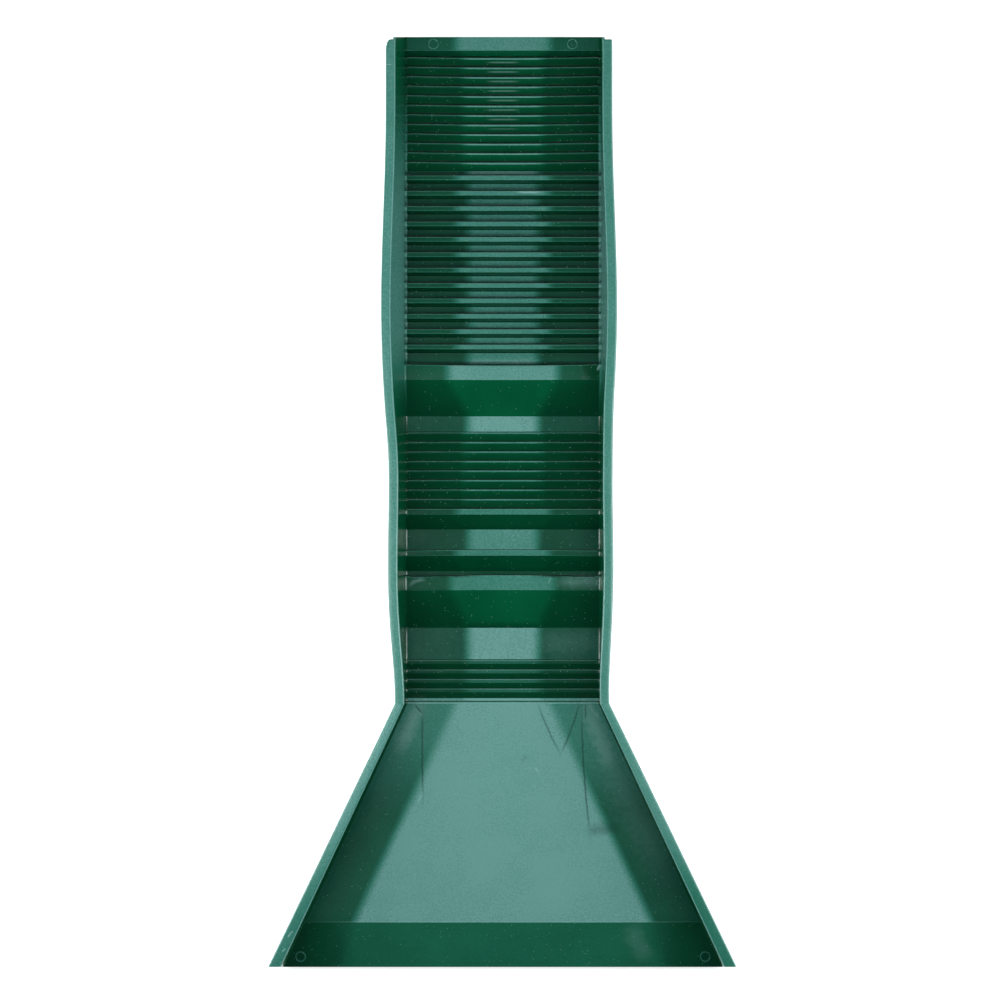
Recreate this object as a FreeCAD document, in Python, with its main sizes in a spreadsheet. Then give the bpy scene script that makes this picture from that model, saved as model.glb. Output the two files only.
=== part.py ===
"""Moulded stream sluice with a flared inlet, as a parametric FreeCAD document.

The sluice is one tray of thin plastic sheet, formed over a mould.  Water enters over
the entry lip, is gathered by the flare, falls into the channel at the throat, runs
over rows of cross ribs and leaves over the outlet lip.  Each zone of the tray is an
object of its own, divided along the fold lines of the sheet, so that it meets its
neighbours face to face.

Frame: millimetres, +Z up, +Y downstream, +X to the right of someone who looks
downstream.  The origin is under the middle of the tray, in the plane it rests on.
"""
import FreeCAD
import Part
import Sketcher
import os
import re

DOC = FreeCAD.newDocument("stream_sluice")

SIZES = {
    # the sheet and the two levels that it runs on
    "sheet": 3.2,               # thickness of the formed sheet
    "overall_height": 76.0,     # rest plane to the top of the rims
    "deck_rise": 15.0,          # flare floor, rib tops and outlet lip above the channel bed
    # the flare
    "flare_length": 359.5,      # front edge to the throat
    "front_half": 300.5,        # middle line to the inside of the wall, at the front edge
    "front_fold": 302.5,        # middle line to the inner fold of the rim, at the front edge
    "front_rim": 320.0,         # middle line to the outside of the rim, at the front edge
    "entry_lip": 61.0,          # length of the sloping entry lip
    "entry_drop": 10.0,         # fall of the entry lip to the front edge
    # the channel in plan: the walls bow out between the throat and the outlet
    "bed_half": 133.5,          # middle line to the inside of the walls, at the bed
    "rim_width": 13.0,          # outward flange along the top of a channel wall
    "rim_turn": 6.0,            # depth of the turned-down edge of a rim
    "rim_setback": 3.0,         # end of a rim behind the end of the outlet lip
    "throat_rim": 146.5,        # middle line to the outside of the rim, at the throat
    "neck_rim": 150.5,
    "shoulder_rim": 154.0,
    "waist_rim": 152.8,
    "knee_rim": 156.0,
    "belly_rim": 161.0,
    "hip_rim": 159.3,
    "tail_rim": 155.0,
    "outlet_rim": 154.5,
    "neck_share": 0.10,         # where those widths lie, as shares of the channel's length
    "shoulder_share": 0.20,
    "waist_share": 0.32,
    "knee_share": 0.44,
    "belly_share": 0.57,
    "hip_share": 0.70,
    "tail_share": 0.85,
    # cross ribs, each a slope that faces upstream, a flat top and a sheer drop
    "throat_foot": 4.6,         # flat below the drop at the throat
    "throat_slope": 7.5,
    "throat_top": 5.5,
    "throat_rise": 4.0,
    "throat_count": 4,
    "upper_flat": 44.0,
    "upper_slope": 51.0,
    "upper_top": 20.5,
    "upper_rise": 21.5,
    "upper_foot": 6.0,
    "small_slope": 20.4,
    "small_top": 8.0,
    "pool": 28.5,               # flat between the two small ribs
    "fine_slope": 10.5,
    "fine_top": 2.5,
    "fine_rise": 5.5,
    "middle_count": 8,
    "lower_flat": 22.0,
    "lower_slope": 49.7,
    "lower_top": 22.0,
    "lower_rise": 25.0,
    "lower_foot": 5.7,
    "deep_foot": 9.4,
    "deep_slope": 4.8,
    "deep_top": 6.8,
    "deep_count": 12,
    "tail_foot": 5.3,
    "tail_count": 12,
    "outlet_slope": 8.7,
    "outlet_flat": 18.5,
    # moulded ring marks near the four corners
    "ring_outer": 7.5,
    "ring_inner": 5.5,
    "ring_height": 0.6,
    "entry_ring_side": 276.5,   # middle line to a ring mark of the entry lip
    "entry_ring_inset": 14.0,   # front edge to that ring mark
    "outlet_ring_side": 95.0,   # middle line to a ring mark of the outlet lip
    "outlet_ring_inset": 9.6,   # end of the outlet lip to that ring mark
}

# Lengths of the zones, in the order in which the water crosses them.
ZONES = [
    ("entry_lip", "entry_lip"),
    ("flare_floor", "flare_length - entry_lip"),
    ("throat_drop", "sheet + throat_foot"),
    ("throat_ribs", "throat_count * (throat_slope + throat_top)"),
    ("upper_flat", "upper_flat"),
    ("upper_big_rib", "upper_slope + upper_top + upper_foot"),
    ("small_rib_upper", "small_slope + small_top"),
    ("pool_floor", "pool"),
    ("small_rib_lower", "small_slope + small_top"),
    ("middle_ribs", "middle_count * (fine_slope + fine_top)"),
    ("lower_flat", "lower_flat"),
    ("lower_big_rib", "lower_slope + lower_top + lower_foot"),
    ("deep_ribs", "deep_count * (deep_foot + deep_slope + deep_top)"),
    ("tail_foot", "tail_foot"),
    ("tail_ribs", "tail_count * (fine_slope + fine_top)"),
    ("outlet_lip", "outlet_slope + outlet_flat"),
]
OVERALL_LENGTH = " + ".join(length for _, length in ZONES)
CHANNEL_LENGTH = f"({OVERALL_LENGTH}) - flare_length"
WALL_TOP = "overall_height - sheet"
# The walls stand upright as far as the highest rib, and lean outward above it.
WALL_FOOT = "sheet + max(upper_rise; lower_rise)"


def make_sheet():
    """Put the driving dimensions in a spreadsheet, one aliased cell each."""
    sheet = DOC.addObject("Spreadsheet::Sheet", "Sizes")
    for row, (alias, value) in enumerate(SIZES.items(), start=1):
        sheet.set(f"A{row}", alias)
        sheet.set(f"B{row}", str(value))
        sheet.setAlias(f"B{row}", alias)
    DOC.recompute()
    return sheet


SHEET = make_sheet()


def bound(formula):
    """The formula with each name of a size pointing at its cell in the sheet."""
    return re.sub(r"[a-z_]{3,}", lambda word: "Sizes." + word.group()
                  if word.group() in SIZES else word.group(), str(formula))


def value(formula):
    """The number that a formula of sizes gives now."""
    result = SHEET.evalExpression(bound(formula))
    return float(getattr(result, "Value", result))


def start_of(zone):
    """Where a zone begins, measured from the front edge."""
    before = [length for name, length in ZONES[:[name for name, _ in ZONES].index(zone)]]
    return " + ".join(before) or "0"


def make_body(name, start):
    """An empty body whose own Y starts at a distance from the front edge."""
    body = DOC.addObject("PartDesign::Body", name)
    body.Label = name
    body.setExpression("Placement.Base.y", bound(f"({start}) - ({OVERALL_LENGTH}) / 2"))
    return body


def origin_feature(body, role):
    return next(item for item in body.Origin.OriginFeatures if item.Role == role)


def add_sketch(body, name, plane, shift=None):
    """A sketch on a plane of the body's origin; shift moves it along the plane's normal."""
    sketch = body.newObject("Sketcher::SketchObject", name)
    sketch.AttachmentSupport = [(origin_feature(body, plane), "")]
    sketch.MapMode = "FlatFace"
    if shift is not None:
        sketch.setExpression("AttachmentOffset.Base.z", bound(shift))
    return sketch


def hold(sketch, kind, formula, *where):
    """A constraint whose value follows a formula of sizes."""
    index = sketch.addConstraint(Sketcher.Constraint(kind, *where, value(formula)))
    sketch.setExpression(f"Constraints[{index}]", bound(formula))


def add_outline(sketch, corners):
    """A closed outline of straight lines, each corner held by two formulas."""
    spots = [FreeCAD.Vector(value(across), value(up), 0) for across, up in corners]
    for index, spot in enumerate(spots):
        sketch.addGeometry(Part.LineSegment(spot, spots[(index + 1) % len(spots)]))
    for index, (across, up) in enumerate(corners):
        following = (index + 1) % len(corners)
        sketch.addConstraint(Sketcher.Constraint("Coincident", index, 2, following, 1))
        hold(sketch, "DistanceX", across, -1, 1, index, 1)
        hold(sketch, "DistanceY", up, -1, 1, index, 1)


def pad_across(body, name, corners):
    """A stretch of the channel floor: a side outline (along, up) as wide as the bed."""
    sketch = add_sketch(body, name + "_outline", "YZ_Plane")
    add_outline(sketch, corners)
    pad = body.newObject("PartDesign::Pad", name + "_pad")
    pad.Profile = sketch
    pad.SideType = "Symmetric"
    pad.setExpression("Length", bound("2 * bed_half"))
    return pad


def loft_along(body, name, sections):
    """Straight or smooth stretches between outlines (across, up) at stations along Y."""
    sketches = []
    for number, (station, corners) in enumerate(sections, start=1):
        sketch = add_sketch(body, f"{name}_section_{number}", "XZ_Plane", f"-({station})")
        add_outline(sketch, corners)
        sketches.append(sketch)
    loft = body.newObject("PartDesign::AdditiveLoft", name + "_loft")
    loft.Profile = sketches[0]
    loft.Sections = sketches[1:]
    return loft


# ---------------------------------------------------------------- channel floor
def flat(zone, length):
    """A level stretch of the bed."""
    body = make_body(zone, start_of(zone))
    pad_across(body, zone, [("0", "0"), (length, "0"), (length, "sheet"), ("0", "sheet")])


def rib_outline(foot, slope, top, rise, after="0"):
    """Side outline of one formed rib: foot, slope, top, drop and a flat after the drop.

    The underside follows the slope one sheet thickness below it.  Where the rib is
    too narrow for a hollow with a flat roof, the hollow runs to a point.
    """
    crest = f"{foot} + {slope}"
    drop = f"{foot} + {slope} + {top}"
    end = f"{drop} + {after}"
    angle = f"atan(({rise}) / ({slope}))"
    inset = f"sheet * tan({angle} / 2)"
    upper = [("0", "sheet")]
    if foot != "0":
        upper.append((foot, "sheet"))
    upper += [(crest, f"sheet + {rise}"), (drop, f"sheet + {rise}")]
    if after != "0":
        upper += [(drop, "sheet"), (end, "sheet")]
    roof_ahead = f"{crest} + {inset}"
    roof_behind = f"{drop} - sheet"
    if value(roof_behind) > value(roof_ahead):
        hollow = [(roof_behind, rise), (roof_ahead, rise)]
    else:
        peak = f"(({slope}) + ({top}) - sheet - {inset}) * ({rise}) / ({slope})"
        hollow = [(roof_behind, peak)]
    lower = [(end, "0"), (roof_behind, "0")] + hollow + [(f"{foot} + {inset}", "0"), ("0", "0")]
    return upper + lower


def single_rib(zone, slope, top, rise, after="0"):
    body = make_body(zone, start_of(zone))
    pad_across(body, zone, rib_outline("0", slope, top, rise, after))


def rib_row(zone, foot, slope, top, rise, count):
    """Equal ribs one behind the other, as a pattern of the first one."""
    body = make_body(zone, start_of(zone))
    pad = pad_across(body, zone, rib_outline(foot, slope, top, rise))
    row = body.newObject("PartDesign::LinearPattern", zone + "_row")
    row.Originals = [pad]
    row.Direction = (origin_feature(body, "Y_Axis"), [""])
    row.setExpression("Length", bound(f"({count} - 1) * ({foot} + {slope} + {top})"))
    row.setExpression("Occurrences", bound(count))
    body.Tip = row


def throat_drop():
    """The sheer drop at the end of the flare floor, with the flat at its foot."""
    body = make_body("throat_drop", start_of("throat_drop"))
    end = "sheet + throat_foot"
    pad_across(body, "throat_drop", [
        ("0", "0"), (end, "0"), (end, "sheet"), ("sheet", "sheet"),
        ("sheet", "sheet + deck_rise"), ("0", "sheet + deck_rise")])


# A rotation made with an angle of 0 loses its axis, so it is made this many degrees
# further and its formula then sets the true angle.
AXIS_HOLD = 1.0


def ring_marks(body, name, side, along, up, angle="0"):
    """Two raised rings, mirrored about the middle line, on a surface at an angle."""
    sketch = body.newObject("Sketcher::SketchObject", name + "_rings")
    sketch.AttachmentSupport = [(origin_feature(body, "XY_Plane"), "")]
    sketch.MapMode = "FlatFace"
    tilt = FreeCAD.Rotation(FreeCAD.Vector(1, 0, 0), value(angle) + AXIS_HOLD)
    sketch.AttachmentOffset = FreeCAD.Placement(FreeCAD.Vector(0, 0, 0), tilt)
    sketch.setExpression("AttachmentOffset.Base.y", bound(along))
    sketch.setExpression("AttachmentOffset.Base.z", bound(up))
    sketch.setExpression("AttachmentOffset.Rotation.Angle", bound(angle))
    for place in (f"-{side}", side):
        for radius in ("ring_outer", "ring_inner"):
            centre = FreeCAD.Vector(value(place), 0, 0)
            circle = sketch.addGeometry(Part.Circle(centre, FreeCAD.Vector(0, 0, 1), value(radius)))
            hold(sketch, "DistanceX", place, -1, 1, circle, 3)
            sketch.addConstraint(Sketcher.Constraint("PointOnObject", circle, 3, -1))
            hold(sketch, "Radius", radius, circle)
    pad = body.newObject("PartDesign::Pad", name + "_rings_pad")
    pad.Profile = sketch
    pad.setExpression("Length", bound("ring_height"))


def outlet_lip():
    """The rise out of the channel bed and the level lip at the end of the tray."""
    body = make_body("outlet_lip", start_of("outlet_lip"))
    inset = "sheet * tan(atan(deck_rise / outlet_slope) / 2)"
    end = "outlet_slope + outlet_flat"
    pad_across(body, "outlet_lip", [
        ("0", "sheet"), ("outlet_slope", "sheet + deck_rise"), (end, "sheet + deck_rise"),
        (end, "deck_rise"), (f"outlet_slope + {inset}", "deck_rise"), (inset, "0"), ("0", "0")])
    ring_marks(body, "outlet_lip", "outlet_ring_side", f"{end} - outlet_ring_inset",
               "sheet + deck_rise")


# ---------------------------------------------------------------- flare
def flare_half(station):
    """Middle line to the inside of the flare's floor, at a distance from the front."""
    return f"(front_half + (bed_half - front_half) * ({station}) / flare_length)"


def floor_section(station, underside):
    """Cross section of the flare's floor, as wide as the flare is there."""
    half = flare_half(station)
    return [(f"-{half}", underside), (half, underside),
            (half, f"{underside} + sheet"), (f"-{half}", f"{underside} + sheet")]


def entry_lip():
    """The sloping lip that the water climbs to reach the flare floor."""
    body = make_body("entry_lip", "0")
    loft_along(body, "entry_lip", [
        ("0", floor_section("0", "deck_rise - entry_drop")),
        ("entry_lip", floor_section("entry_lip", "deck_rise"))])
    slope = "entry_drop / entry_lip"
    ring_marks(body, "entry_lip", "entry_ring_side", "entry_ring_inset",
               f"sheet + deck_rise - entry_drop + entry_ring_inset * {slope}",
               f"atan({slope})")


def flare_floor():
    body = make_body("flare_floor", start_of("flare_floor"))
    loft_along(body, "flare_floor", [
        ("0", floor_section("entry_lip", "deck_rise")),
        ("flare_length - entry_lip", floor_section("flare_length", "deck_rise"))])


# ---------------------------------------------------------------- walls and rims
def wall_section(side, foot_in, fold, underside, foot_top):
    """A wall: upright from its underside to foot_top, then leaning out to the fold."""
    return [(f"{side} * ({foot_in})", underside),
            (f"{side} * ({foot_in})", foot_top),
            (f"{side} * ({fold})", WALL_TOP),
            (f"{side} * ({fold} + sheet)", WALL_TOP),
            (f"{side} * ({foot_in} + sheet)", foot_top),
            (f"{side} * ({foot_in} + sheet)", underside)]


def rim_section(side, fold, outside):
    """A rim: a level flange on top of the wall, its outer edge turned down."""
    return [(f"{side} * ({fold})", WALL_TOP),
            (f"{side} * ({fold})", "overall_height"),
            (f"{side} * ({outside})", "overall_height"),
            (f"{side} * ({outside})", "overall_height - rim_turn"),
            (f"{side} * ({outside} - sheet)", "overall_height - rim_turn"),
            (f"{side} * ({outside} - sheet)", WALL_TOP)]


def flare_fold(station):
    """Middle line to the inner fold of the flare's rim."""
    throat = "(throat_rim - rim_width)"
    return f"(front_fold + ({throat} - front_fold) * ({station}) / flare_length)"


def flare_wall(name, side):
    """The wall stands on the lip's slope as far as the crease, then on the floor."""
    body = make_body(name, "0")
    sections = []
    for station, underside in (("0", "deck_rise - entry_drop"), ("entry_lip", "deck_rise"),
                               ("flare_length", "deck_rise")):
        sections.append((station, wall_section(side, flare_half(station), flare_fold(station),
                                               underside, f"{underside} + sheet")))
    loft_along(body, name, sections).Ruled = True


def flare_rim(name, side):
    body = make_body(name, "0")
    loft_along(body, name, [
        ("0", rim_section(side, "front_fold", "front_rim")),
        ("flare_length", rim_section(side, "throat_rim - rim_width", "throat_rim"))])


# Outer edge of the rim at shares of the channel's length.
BOW = [("0", "throat_rim"), ("neck_share", "neck_rim"), ("shoulder_share", "shoulder_rim"),
       ("waist_share", "waist_rim"), ("knee_share", "knee_rim"), ("belly_share", "belly_rim"),
       ("hip_share", "hip_rim"), ("tail_share", "tail_rim"), ("1", "outlet_rim")]


def channel_wall(name, side):
    body = make_body(name, "flare_length")
    loft_along(body, name, [
        (f"({share}) * ({CHANNEL_LENGTH})",
         wall_section(side, "bed_half", f"{outside} - rim_width", "0", WALL_FOOT))
        for share, outside in BOW])


def channel_rim(name, side):
    body = make_body(name, "flare_length")
    loft_along(body, name, [
        (f"({share}) * ({CHANNEL_LENGTH})",
         rim_section(side, f"{outside} - rim_width", outside))
        for share, outside in BOW])
    end = add_sketch(body, name + "_end", "YZ_Plane")
    add_outline(end, [
        (f"{CHANNEL_LENGTH} - rim_setback", "0"), (f"{CHANNEL_LENGTH} + sheet", "0"),
        (f"{CHANNEL_LENGTH} + sheet", "overall_height + sheet"),
        (f"{CHANNEL_LENGTH} - rim_setback", "overall_height + sheet")])
    cut = body.newObject("PartDesign::Pocket", name + "_end_cut")
    cut.Profile = end
    cut.SideType = "Symmetric"
    cut.setExpression("Length", bound("2 * (outlet_rim + sheet)"))


# ---------------------------------------------------------------- the tray
def build_tray():
    entry_lip()
    flare_floor()
    throat_drop()
    rib_row("throat_ribs", "0", "throat_slope", "throat_top", "throat_rise", "throat_count")
    flat("upper_flat", "upper_flat")
    single_rib("upper_big_rib", "upper_slope", "upper_top", "upper_rise", "upper_foot")
    single_rib("small_rib_upper", "small_slope", "small_top", "deck_rise")
    flat("pool_floor", "pool")
    single_rib("small_rib_lower", "small_slope", "small_top", "deck_rise")
    rib_row("middle_ribs", "0", "fine_slope", "fine_top", "fine_rise", "middle_count")
    flat("lower_flat", "lower_flat")
    single_rib("lower_big_rib", "lower_slope", "lower_top", "lower_rise", "lower_foot")
    rib_row("deep_ribs", "deep_foot", "deep_slope", "deep_top", "deck_rise", "deep_count")
    flat("tail_foot", "tail_foot")
    rib_row("tail_ribs", "0", "fine_slope", "fine_top", "fine_rise", "tail_count")
    outlet_lip()
    for name, side in (("left", "-1"), ("right", "1")):
        flare_wall("flare_wall_" + name, side)
        flare_rim("flare_rim_" + name, side)
        channel_wall("channel_wall_" + name, side)
        channel_rim("channel_rim_" + name, side)
    DOC.recompute()


def check_and_export():
    """Refuse a failed object or a bad shape, then write one STEP file for each zone."""
    for item in DOC.Objects:
        if "Invalid" in item.State or "Error" in item.State:
            raise RuntimeError(f"{item.Name} failed: {item.State}")
    bodies = [item for item in DOC.Objects if item.isDerivedFrom("PartDesign::Body")]
    for body in bodies:
        if body.Shape.isNull() or not body.Shape.isValid() or len(body.Shape.Solids) != 1:
            raise RuntimeError(f"{body.Label} has no single valid solid")
    os.makedirs("parts", exist_ok=True)
    for body in bodies:
        body.Shape.exportStep(f"parts/{body.Label}.step")
    whole = Part.makeCompound([body.Shape for body in bodies]).BoundBox
    print(f"{len(bodies)} zones, {whole.XLength:.1f} x {whole.YLength:.1f} x {whole.ZLength:.1f} mm")


build_tray()
check_and_export()
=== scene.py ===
"""Looks of the moulded stream sluice: one glossy green sheet, shown from above.

Every zone of the tray is rebuilt as a closed sheet with rounded folds.  The profile
along the middle is read from the CAD nodes, so each zone lies where the frame has it.
Lengths are in metres: x is across, y downstream and z up, as in the frame.
"""
import math

import bmesh
import bpy
import numpy as np
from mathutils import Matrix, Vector


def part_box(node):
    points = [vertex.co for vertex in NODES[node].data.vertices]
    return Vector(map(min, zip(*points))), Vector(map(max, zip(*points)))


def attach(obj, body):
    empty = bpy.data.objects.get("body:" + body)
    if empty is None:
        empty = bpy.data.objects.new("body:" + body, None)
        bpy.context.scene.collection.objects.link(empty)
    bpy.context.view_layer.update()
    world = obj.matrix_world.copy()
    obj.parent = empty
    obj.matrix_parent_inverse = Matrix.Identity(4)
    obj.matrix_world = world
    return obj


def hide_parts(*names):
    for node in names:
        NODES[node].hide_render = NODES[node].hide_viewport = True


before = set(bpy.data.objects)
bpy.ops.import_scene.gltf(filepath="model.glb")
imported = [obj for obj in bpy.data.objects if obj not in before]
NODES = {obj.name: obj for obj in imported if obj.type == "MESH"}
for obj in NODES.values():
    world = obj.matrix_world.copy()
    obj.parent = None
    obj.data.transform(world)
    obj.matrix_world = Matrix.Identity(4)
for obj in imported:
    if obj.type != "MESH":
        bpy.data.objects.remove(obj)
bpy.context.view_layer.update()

MM = 0.001

# ------------------------------------------------------------------ sizes from the frame
FLOOR_ZONES = ["entry_lip", "flare_floor", "throat_drop", "throat_ribs", "upper_flat",
               "upper_big_rib", "small_rib_upper", "pool_floor", "small_rib_lower",
               "middle_ribs", "lower_flat", "lower_big_rib", "deep_ribs", "tail_foot",
               "tail_ribs", "outlet_lip"]
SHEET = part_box("pool_floor")[1].z
BED_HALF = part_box("pool_floor")[1].x
RIM_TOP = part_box("channel_rim_right")[1].z
RIM_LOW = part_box("channel_rim_right")[0].z
FRONT_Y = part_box("entry_lip")[0].y
CREASE_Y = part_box("flare_floor")[0].y
THROAT_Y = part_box("flare_floor")[1].y
OUTLET_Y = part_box("outlet_lip")[1].y
RIM_END_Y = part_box("channel_rim_right")[1].y
DECK_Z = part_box("flare_floor")[1].z
FRONT_TOP_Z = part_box("entry_lip")[0].z + SHEET
FRONT_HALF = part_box("entry_lip")[1].x
FRONT_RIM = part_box("flare_rim_right")[1].x
WALL_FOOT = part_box("lower_big_rib")[1].z

# ------------------------------------------------------------------ sizes of the forming
SAME = 0.01 * MM             # points nearer than this are one point
SHORTEST_RUN = 0.05 * MM     # shorter runs of the profile are left out
FOLD_OUT = 1.3 * MM          # radius over a raised fold
FOLD_IN = 1.1 * MM           # radius in a sunk fold
TIGHT = 0.3 * MM             # smallest radius, under a fold
WIDEST_TURN = 2.6            # a sharper turn, in radians, is rounded no further back
ROUNDED_SHARE = 0.42         # most of a straight that the rounding at one end of it takes
MITRE_LIMIT = 0.4            # keeps the underside's corner near a sharp fold
LEAST_ADVANCE = 0.02 * MM    # from one corner of the underside to the next, along y
DRAFT = 0.04                 # lean of a sheer drop
COVE = 3.0 * MM              # radius between floor and wall
RIM_FOLD = 2.6 * MM          # radius between wall and rim
RIM_EDGE = 2.2 * MM          # radius over the outer edge of a rim
FRONT_LEAN = 2.0 * MM        # lean of the flare walls at the front edge
WALL_BEND = 8.0 * MM         # height over which a wall starts to lean
LEFT_CORNER = 14 * MM        # rounding of a rim's outlet corner, seen from above
RIGHT_CORNER = 2.5 * MM
CORNER_DEPTH = 0.45          # how far such a corner goes in, against a true quarter circle
# How far both walls lean to the left: each shift, and where along y it starts and ends.
SWAYS = ((2.6 * MM, THROAT_Y - 0.06, THROAT_Y + 0.16), (2.4 * MM, 0.04, 0.15))
TWIST = 4.5 * MM             # how far the lower big crest has sunk at its right end
TWIST_START = 24 * MM        # distance from the wall at which the sinking starts and stops
TWIST_STOP = 4 * MM
# How far the middle of a zone's folds lies downstream of their ends.
CREST_BOW = {"upper_big_rib": 3.2 * MM, "small_rib_upper": 0.8 * MM, "middle_ribs": 0.3 * MM,
             "lower_big_rib": -1.4 * MM, "tail_ribs": -4.0 * MM}
BOW_BACK = {"upper_big_rib": 0.7}   # share of the bow by which its ends lie upstream
SINGLE_RIBS = ("upper_big_rib", "lower_big_rib")
TAIL_COUNT = 12
ZONE_ENDS = {zone: (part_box(zone)[0].y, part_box(zone)[1].y) for zone in FLOOR_ZONES}

# Raised rings that mark where holes may be drilled.
RING_OUTER = 7.5 * MM
RING_INNER = 5.5 * MM
RING_HEIGHT = 0.6 * MM
RING_SUNK = 0.1 * MM         # how far a ring reaches into the sheet
ENTRY_RING = (276.5 * MM, 14 * MM)   # from the middle line, and from the front edge
OUTLET_RING = (95 * MM, 9.6 * MM)    # from the middle line, and from the outlet edge

# How finely the meshes are divided.
ARC_STEP = math.radians(16)
LONG_STEP = 12 * MM
RIM_STEP = 5 * MM
RIM_END_SHARES = (0.18, 0.36, 0.54, 0.72)   # of a step: extra places at a rim's rounded end
REACH_STATIONS = 90
FLOOR_COLUMNS = 30
WALL_ROWS = 6
CORNER_STEPS = 5
RING_AROUND = 40
RING_ACROSS = 6

# ------------------------------------------------------------------ painted sheen and shade
# How strongly painted sheen lightens the level faces of a piece, and all of its faces.
LEVEL_SHEEN = {"entry_lip": 0.5, "throat_drop": 0.9, "throat_ribs": 0.25, "upper_big_rib": 0.53,
              "small_rib_upper": 0.5, "pool_floor": 0.66, "small_rib_lower": 0.5,
              "middle_ribs": 0.5, "lower_big_rib": 0.8, "deep_ribs": 0.58, "tail_ribs": 0.9,
              "outlet_lip": 0.64, "flare_rim_left": 0.86, "flare_rim_right": 0.68,
              "channel_rim_left": 0.70, "channel_rim_right": 0.62}
OVERALL_SHEEN = {"entry_lip": 0.20, "outlet_lip": 0.07, "throat_drop": 0.45}
# Painted sheen on the channel walls, over part of their length.
WALL_SHEEN = {"channel_wall_left": 0.60, "channel_wall_right": 0.70}
WALL_SHEEN_START = (0.10, 0.24)      # where along y it fades in, and out again
WALL_SHEEN_STOP = (0.40, 0.62)
FRONT_RIM_SHARE = 0.6               # of a flare rim's painted sheen that is left at its front end
FRONT_RIM_FADE = (-0.56, -0.42)
LIP_SIDE_FADE = 0.6                 # of the entry lip's overall painted sheen that its sides lack
LIP_SIDES = (0.19, 0.25)
# Painted highlight on the raised rings.
RING_SHEEN = 0.36
# Painted shade: how much darker the green is made in a zone, and in the troughs between its ribs.
ZONE_SHADE = {"throat_ribs": 0.45, "small_rib_upper": 0.4, "small_rib_lower": 0.4,
           "middle_ribs": 0.28, "deep_ribs": 0.45, "tail_ribs": 0.12}
TROUGH_SHADE = 0.55
TROUGH_ZONES = ("throat_ribs", "small_rib_upper", "small_rib_lower", "upper_big_rib",
                "middle_ribs", "tail_ribs")
TROUGH_RISE = (0.5 * MM, 4 * MM)    # height above the sheet over which a trough ends
SHARP_TURN = math.radians(35)       # folds that turn more than this get a painted highlight, or painted shade if sunk
RIM_HIGHLIGHT = 1.5                      # painted highlight along both edges of a rim, against 1 on a floor fold


# ------------------------------------------------------------------ reading the frame
def side_outline(node):
    """The closed outline (y, z) of a floor zone, at the widest end of its CAD solid."""
    bm = bmesh.new()
    bm.from_mesh(NODES[node].data)
    bmesh.ops.remove_doubles(bm, verts=bm.verts, dist=SAME)
    widest = max(vert.co.x for vert in bm.verts)
    at_end = {face for face in bm.faces
              if all(abs(vert.co.x - widest) < 2 * SAME for vert in face.verts)}
    links = {}
    for edge in bm.edges:
        if sum(face in at_end for face in edge.link_faces) == 1:
            one, other = edge.verts
            links.setdefault(one, []).append(other)
            links.setdefault(other, []).append(one)
    first = next(iter(links))
    loop = [first]
    following = links[first][0]
    while following is not first:
        loop.append(following)
        following = next(vert for vert in links[following] if vert is not loop[-2])
    outline = [(vert.co.y, vert.co.z) for vert in loop]
    bm.free()
    return outline


def top_side(node):
    """The top of a floor zone's outline, from its upstream end to its downstream end."""
    outline = side_outline(node)
    low = min(y for y, _ in outline)
    high = max(y for y, _ in outline)
    start = max((p for p in outline if p[0] < low + SAME), key=lambda p: p[1])
    end = max((p for p in outline if p[0] > high - SAME), key=lambda p: p[1])
    begin = outline.index(start)
    turned = outline[begin:] + outline[:begin]
    stop = turned.index(end)
    one_way = turned[:stop + 1]
    other_way = (turned[stop:] + turned[:1])[::-1]
    return max(one_way, other_way, key=lambda path: sum(z for _, z in path) / len(path))


def channel_corners():
    """Corners (y, z, zone) of the tray's top side, all the way down the middle."""
    corners = [(FRONT_Y, FRONT_TOP_Z, "entry_lip"), (CREASE_Y, DECK_Z, "flare_floor")]
    for zone in FLOOR_ZONES[2:]:
        for y, z in top_side(zone):
            last_y, last_z, _ = corners[-1]
            if math.hypot(y - last_y, z - last_z) > SHORTEST_RUN:
                corners.append((y, z, zone))
            else:
                corners[-1] = (last_y, last_z, zone)
    return corners


def rim_reach(node):
    """A function that gives how far out a channel rim reaches at a place along it."""
    mesh = NODES[node].data
    places = np.array([vert.co for vert in mesh.vertices])
    pairs = np.array([edge.vertices for edge in mesh.edges])
    one, other = places[pairs[:, 0]], places[pairs[:, 1]]
    stations = np.linspace(THROAT_Y + MM, RIM_END_Y - MM, REACH_STATIONS)
    reach = []
    for y in stations:
        across = (one[:, 1] - y) * (other[:, 1] - y) <= 0
        run = other[across, 1] - one[across, 1]
        level = np.abs(run) < 1e-9
        share = np.where(level, 0, (y - one[across, 1]) / np.where(level, 1, run))
        reach.append((one[across, 0] + share * (other[across, 0] - one[across, 0])).max())
    return lambda y: float(np.interp(y, stations, reach))


REACH = rim_reach("channel_rim_right")
RIM_WIDTH = REACH(THROAT_Y) - BED_HALF


# ------------------------------------------------------------------ the walls in plan
def ease(value, low, high):
    """0 below low, 1 above high, and smooth between them."""
    share = min(max((value - low) / (high - low), 0.0), 1.0)
    return share * share * (3 - 2 * share)


def flare_share(y):
    """1 at the front edge and 0 from the throat on."""
    return min(max((THROAT_Y - y) / (THROAT_Y - FRONT_Y), 0.0), 1.0)


def bed_half(y):
    """Middle line to the inside of a wall, at the bed."""
    return BED_HALF + (FRONT_HALF - BED_HALF) * flare_share(y)


def rim_half(y):
    """Middle line to the outside of a rim."""
    if y < THROAT_Y:
        throat = REACH(THROAT_Y)
        return throat + (FRONT_RIM - throat) * flare_share(y)
    return REACH(y)


def fold_half(y):
    """Middle line to the inside of the fold between a wall and its rim."""
    if y < THROAT_Y:
        return bed_half(y) + FRONT_LEAN * flare_share(y)
    return REACH(y) - RIM_WIDTH


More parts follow.
